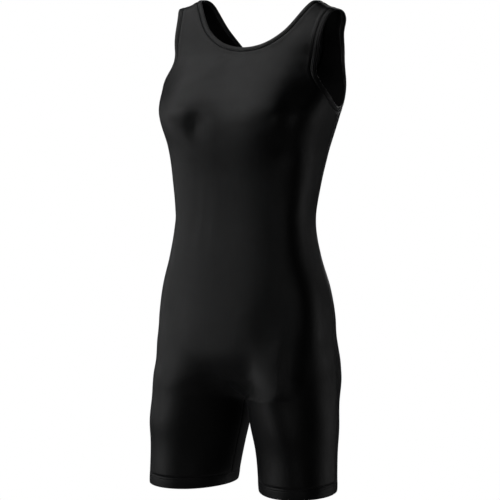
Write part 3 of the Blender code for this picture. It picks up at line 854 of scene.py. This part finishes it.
def knit(name, light, wale, sheen, along_band=False):
    """Nylon and elastane jersey: a broad grey sheen over black, fine columns and rows of loops,
    and a slight unevenness of dye and gloss from the stretch."""
    material, tree, shader = new_material(
        name, Sheen_Weight=sheen, Sheen_Roughness=SHEEN_ROUGHNESS,
        Sheen_Tint=linear(SHEEN_TINT), Specular_IOR_Level=KNIT_SPECULAR,
    )
    coordinates = add_node(tree, "ShaderNodeTexCoord")
    place = add_node(tree, "ShaderNodeMapping", [("Vector", coordinates, "UV")])
    if along_band:
        place.inputs["Rotation"].default_value = (0, 0, math.pi / 2)
    wales = add_node(tree, "ShaderNodeTexWave", [("Vector", place, "Vector")],
                     bands_direction="X", Scale=WAVE_PERIOD / wale, Distortion=1.2, Detail=2.0,
                     Detail_Scale=1.5)
    courses = add_node(tree, "ShaderNodeTexWave", [("Vector", place, "Vector")],
                       bands_direction="Y", Scale=WAVE_PERIOD / (wale * COURSE_SHARE),
                       Distortion=0.8)
    loops = add_node(tree, "ShaderNodeMath",
                     [(0, wales, "Fac"), (1, courses, "Fac"), (2, wales, "Fac")],
                     operation="MULTIPLY_ADD")
    cloudy = add_node(tree, "ShaderNodeTexNoise", [("Vector", coordinates, "Object")],
                      Scale=MOTTLE_SCALE, Detail=5.0, Roughness=0.6)
    streaks = add_node(tree, "ShaderNodeMapping", [("Vector", coordinates, "Object")])
    streaks.inputs["Scale"].default_value = DRAG_LINE_SCALE
    lines = add_node(tree, "ShaderNodeTexNoise", [("Vector", streaks, "Vector")],
                     Scale=1.0, Detail=3.0, Roughness=0.55)
    mixed = add_node(tree, "ShaderNodeMath", [(0, cloudy, "Fac"), (1, lines, "Fac")],
                     operation="ADD")
    low, high = MOTTLE_RANGE
    tone = add_node(tree, "ShaderNodeMapRange", [("Value", mixed, "Value")],
                    From_Min=low, From_Max=high)
    colour = add_node(tree, "ShaderNodeMix", [("Factor", tone, "Result")], data_type="RGBA")
    shades = [socket for socket in colour.inputs if socket.type == "RGBA"]
    for socket, shade in zip(shades, (KNIT_BLACK, light)):
        socket.default_value = linear(shade)
    blended = next(socket for socket in colour.outputs if socket.type == "RGBA")
    tree.links.new(shader.inputs["Base Color"], blended)
    gloss = add_node(tree, "ShaderNodeMapRange", [("Value", mixed, "Value")],
                     From_Min=low, From_Max=high, To_Min=KNIT_ROUGHNESS + GLOSS_CHANGE,
                     To_Max=KNIT_ROUGHNESS - GLOSS_CHANGE)
    tree.links.new(shader.inputs["Roughness"], gloss.outputs["Result"])
    bump = add_node(tree, "ShaderNodeBump", [("Height", loops, "Value")],
                    Strength=RIB_STRENGTH, Distance=RIB_DEPTH)
    tree.links.new(shader.inputs["Normal"], bump.outputs["Normal"])
    return material


def inner_face_knit_painted_shade(name, colour):
    """The knit's inner face: brushed a little, so duller than the outside and without its
    shine; its darker colour is painted shade for the inside of the garment."""
    return new_material(name, Base_Color=linear(colour), Roughness=0.75,
                        Specular_IOR_Level=0.15)[0]


TWIST_SCALE = 2500.0  # the thread's twist, a turn to about 0.4 mm
THREAD_ROUGHNESS = (0.38, 0.55)


def spun_thread(name, colour):
    """Textured polyester sewing thread, dull black with a slight shine along each stitch."""
    material, tree, shader = new_material(name, Base_Color=linear(colour), Sheen_Weight=0.10)
    coordinates = add_node(tree, "ShaderNodeTexCoord")
    twist = add_node(tree, "ShaderNodeTexNoise", [("Vector", coordinates, "Object")],
                     Scale=TWIST_SCALE, Detail=2.0)
    shine, dull = THREAD_ROUGHNESS
    gloss = add_node(tree, "ShaderNodeMapRange", [("Value", twist, "Fac")],
                     To_Min=shine, To_Max=dull)
    tree.links.new(shader.inputs["Roughness"], gloss.outputs["Result"])
    return material


# ---- the garment ----

def joined_sides(edges):
    """One closed loop from the front's and back's halves of each edge of a left opening."""
    both = zip(edges(FRONT), edges(BACK))
    return [np.vstack([front[:-1], back[:0:-1]]) for front, back in both]


def neck_loop():
    """The neck's edge and seam all round."""
    loops = []
    for front, back in zip(neck_edges(FRONT), neck_edges(BACK)):
        left = np.vstack([front, back[::-1][1:]])
        left[[0, -1], 0] = 0
        loops.append(np.vstack([left, (left * MIRROR)[-2:0:-1]]))
    return loops


def seam_allowances(cloth):
    """The overlocked allowances of the side seams, inseams and shoulder seams, turned back."""
    front = half_panel(FRONT)
    below = LEG_ROWS + BODY_ROWS + 1
    pieces = []
    for name, line, side in (
        ("side_seam", front[HEM_GAP:below - BINDING_GAP, 0], 1),
        ("inseam", front[HEM_GAP:LEG_ROWS + 1, -1], -1),
        ("shoulder_seam", front[-1, BINDING_GAP:-BINDING_GAP], 1),
    ):
        for hand, mirror in (("left", 1), ("right", -1)):
            pieces.append(allowance(f"{name}_{hand}", line, side, cloth, mirror))
    return pieces


def make_garment():
    """Every piece of the singlet, each its own mesh."""
    body_knit = knit("black_nylon_elastane_knit", "#101113", BODY_WALE, 0.10)
    band_knit = knit("folded_binding_knit", "#111214", BAND_WALE, 0.12, along_band=True)
    thread = spun_thread("black_spun_polyester_thread", "#08090a")
    # The inner faces are duller, and their darker colour is painted shade for the garment's
    # inside
    dull_painted_shade_side = inner_face_knit_painted_shade("inner_face_knit_painted_shade", "#050506")

    front = panel("front_panel_cloth", "front_panel", FRONT, FRONT_CREASES, body_knit, dull_painted_shade_side)
    back = panel("back_panel_cloth", "back_panel", BACK, BACK_CREASES, body_knit, dull_painted_shade_side)
    allowances = seam_allowances(body_knit)

    edge, seam = neck_loop()
    section = band_section(NECK_BAND, [NECK_ROW], *BINDING_LEVELS)
    binding, sewing = trim_band("neck_binding", "neck_band", seam, edge, NECK_BAND, [NECK_ROW],
                                section, band_knit, thread)

    armhole_rows = [ARMHOLE_ROW, ARMHOLE_ROW + NEEDLE_GAUGE]
    hem_rows = [HEM_TOP_ROW, HEM_TOP_ROW + NEEDLE_GAUGE]
    edge, seam = joined_sides(armhole_edges)
    top, bottom = hem_line(HEM + HEM_DEPTH), hem_line(HEM)
    for hand, mirror in (("left", 1), ("right", -1)):
        section = band_section(ARMHOLE_BAND, armhole_rows, *BINDING_LEVELS)
        binding, sewing = trim_band("armhole_binding_" + hand, "armhole_band_" + hand, seam, edge,
                                    ARMHOLE_BAND, armhole_rows, section, band_knit, thread,
                                    mirror)
        section = band_section(HEM_DEPTH, hem_rows, *HEM_LEVELS)
        hem, sewing = trim_band("leg_hem_cloth_" + hand, "leg_hem_" + hand, top, bottom,
                                HEM_DEPTH, hem_rows, section, band_knit, thread,
                                mirror)


FLOOR_SIZE, FLOOR_HEIGHT = 60, -1.42
FLOOR_GREY = "#a4a4a4"  # what it throws back onto the cloth
WHITE = (1, 1, 1, 1)


def white_to_camera(tree, plain, white, end):
    """End a node tree so that the camera sees white and every other ray sees plain."""
    path = add_node(tree, "ShaderNodeLightPath")
    links = [("Fac", path, "Is Camera Ray"), (1, plain, 0), (2, white, 0)]
    mix = add_node(tree, "ShaderNodeMixShader", links)
    add_node(tree, end, [("Surface", mix, "Shader")])


def make_stage():
    """A wide grey floor, seen as plain white, in a studio that is white to the eye alone."""
    bpy.ops.mesh.primitive_plane_add(size=FLOOR_SIZE, location=(0, 0, FLOOR_HEIGHT))
    floor = bpy.context.object
    floor.name = "studio_floor"
    material = bpy.data.materials.new("white_studio_floor")
    material.use_nodes = True
    tree = material.node_tree
    tree.nodes.clear()
    matt = add_node(tree, "ShaderNodeBsdfDiffuse", Color=linear(FLOOR_GREY))
    white = add_node(tree, "ShaderNodeEmission", Color=WHITE, Strength=1.0)
    white_to_camera(tree, matt, white, "ShaderNodeOutputMaterial")
    floor.data.materials.append(material)

    world = bpy.data.worlds.new("studio")
    bpy.context.scene.world = world
    world.use_nodes = True
    tree = world.node_tree
    tree.nodes.clear()
    dark = add_node(tree, "ShaderNodeBackground", Color=WHITE, Strength=0.0)
    white = add_node(tree, "ShaderNodeBackground", Color=WHITE, Strength=1.0)
    white_to_camera(tree, dark, white, "ShaderNodeOutputWorld")


def aim(item, target):
    """Turn a light or camera to face a point."""
    towards = Vector(target) - item.location
    item.rotation_euler = towards.to_track_quat("-Z", "Y").to_euler()


# Soft boxes round the garment. azimuth 0 is in front, and grows towards the wearer's left. look
# is the height that one is aimed at, and beam the angle in degrees that its grid lets out.
# name, azimuth, height, distance, width, tall, look, beam, power
LIGHTS = [
    ("high_side", -75, 2.1, 1.0, 1.1, 1.1, -0.30, 180, 3.1),
    ("high_behind_side", -100, 1.7, 1.7, 1.1, 1.1, -0.30, 180, 1.5),
    ("tall_side", -90, 0.9, 2.4, 0.45, 1.8, 0.00, 180, 3.0),
    ("side", -95, -0.4, 2.4, 0.85, 1.0, -0.40, 180, 1.6),
    ("chest_side", -60, 1.4, 1.6, 0.8, 0.8, -0.15, 40, 0.16),
    ("chest_front", -20, 1.4, 1.6, 0.8, 0.8, -0.15, 40, 0.145),
    ("bust_key", -50, 0.5, 1.6, 0.4, 0.4, -0.15, 30, 0.045),
    ("body_key", -50, 0.1, 1.6, 0.4, 0.4, -0.35, 30, 0.058),
    ("hip_key", -50, -0.1, 1.2, 0.5, 0.6, -0.40, 180, 0.17),
    ("leg_key", -56, -0.7, 1.2, 0.5, 0.6, -0.65, 180, 0.74),
    ("leg_side", -80, -0.7, 1.2, 0.5, 0.6, -0.40, 180, 0.06),
    ("leg_front", -33, -0.8, 1.2, 0.5, 0.5, -0.75, 60, 0.02),
    ("front", -35, -0.4, 2.4, 0.85, 1.0, -0.40, 180, 0.75),
    ("near_front", 25, -0.4, 2.4, 0.85, 1.0, -0.40, 180, 1.05),
    ("flank", 92, 0.1, 1.6, 0.3, 0.5, -0.15, 40, 0.006),
    ("rim", 135, -0.3, 2.4, 0.5, 2.0, -0.40, 180, 1.2),
    ("leg_rim", 118, -0.9, 1.8, 0.4, 1.2, -0.70, 60, 0.13),
    ("back", -172, 0.4, 2.4, 1.4, 1.6, -0.40, 180, 7.0),
]


def add_light(name, azimuth, height, distance, width, tall, look, beam, power):
    """A soft box on the circle round the garment."""
    data = bpy.data.lights.new(name, "AREA")
    data.shape = "RECTANGLE"
    data.size, data.size_y = width, tall
    data.spread = math.radians(beam)
    data.energy = power
    light = bpy.data.objects.new(name, data)
    turn = math.radians(azimuth)
    light.location = (distance * math.sin(turn), -distance * math.cos(turn), height)
    aim(light, (0, 0, look))
    light.visible_camera = False
    bpy.context.scene.collection.objects.link(light)


# Level with the shoulders, 30 degrees towards the wearer's left, through a long lens
CAMERA_PLACE, CAMERA_TARGET = (2.1815, -3.8105, 0.0), (-0.0185, 0, -0.405)
SENSOR, LENS = 36, 195.2  # millimetres


def make_camera():
    """The scene's camera."""
    data = bpy.data.cameras.new("camera")
    camera = bpy.data.objects.new("camera", data)
    bpy.context.scene.collection.objects.link(camera)
    data.sensor_width, data.lens = SENSOR, LENS
    camera.location = CAMERA_PLACE
    aim(camera, CAMERA_TARGET)
    bpy.context.scene.camera = camera


def main():
    """The garment, its stage, the lights and the camera."""
    make_garment()
    make_stage()
    for light in LIGHTS:
        add_light(*light)
    make_camera()
    bpy.context.scene.view_settings.view_transform = "Standard"


main()
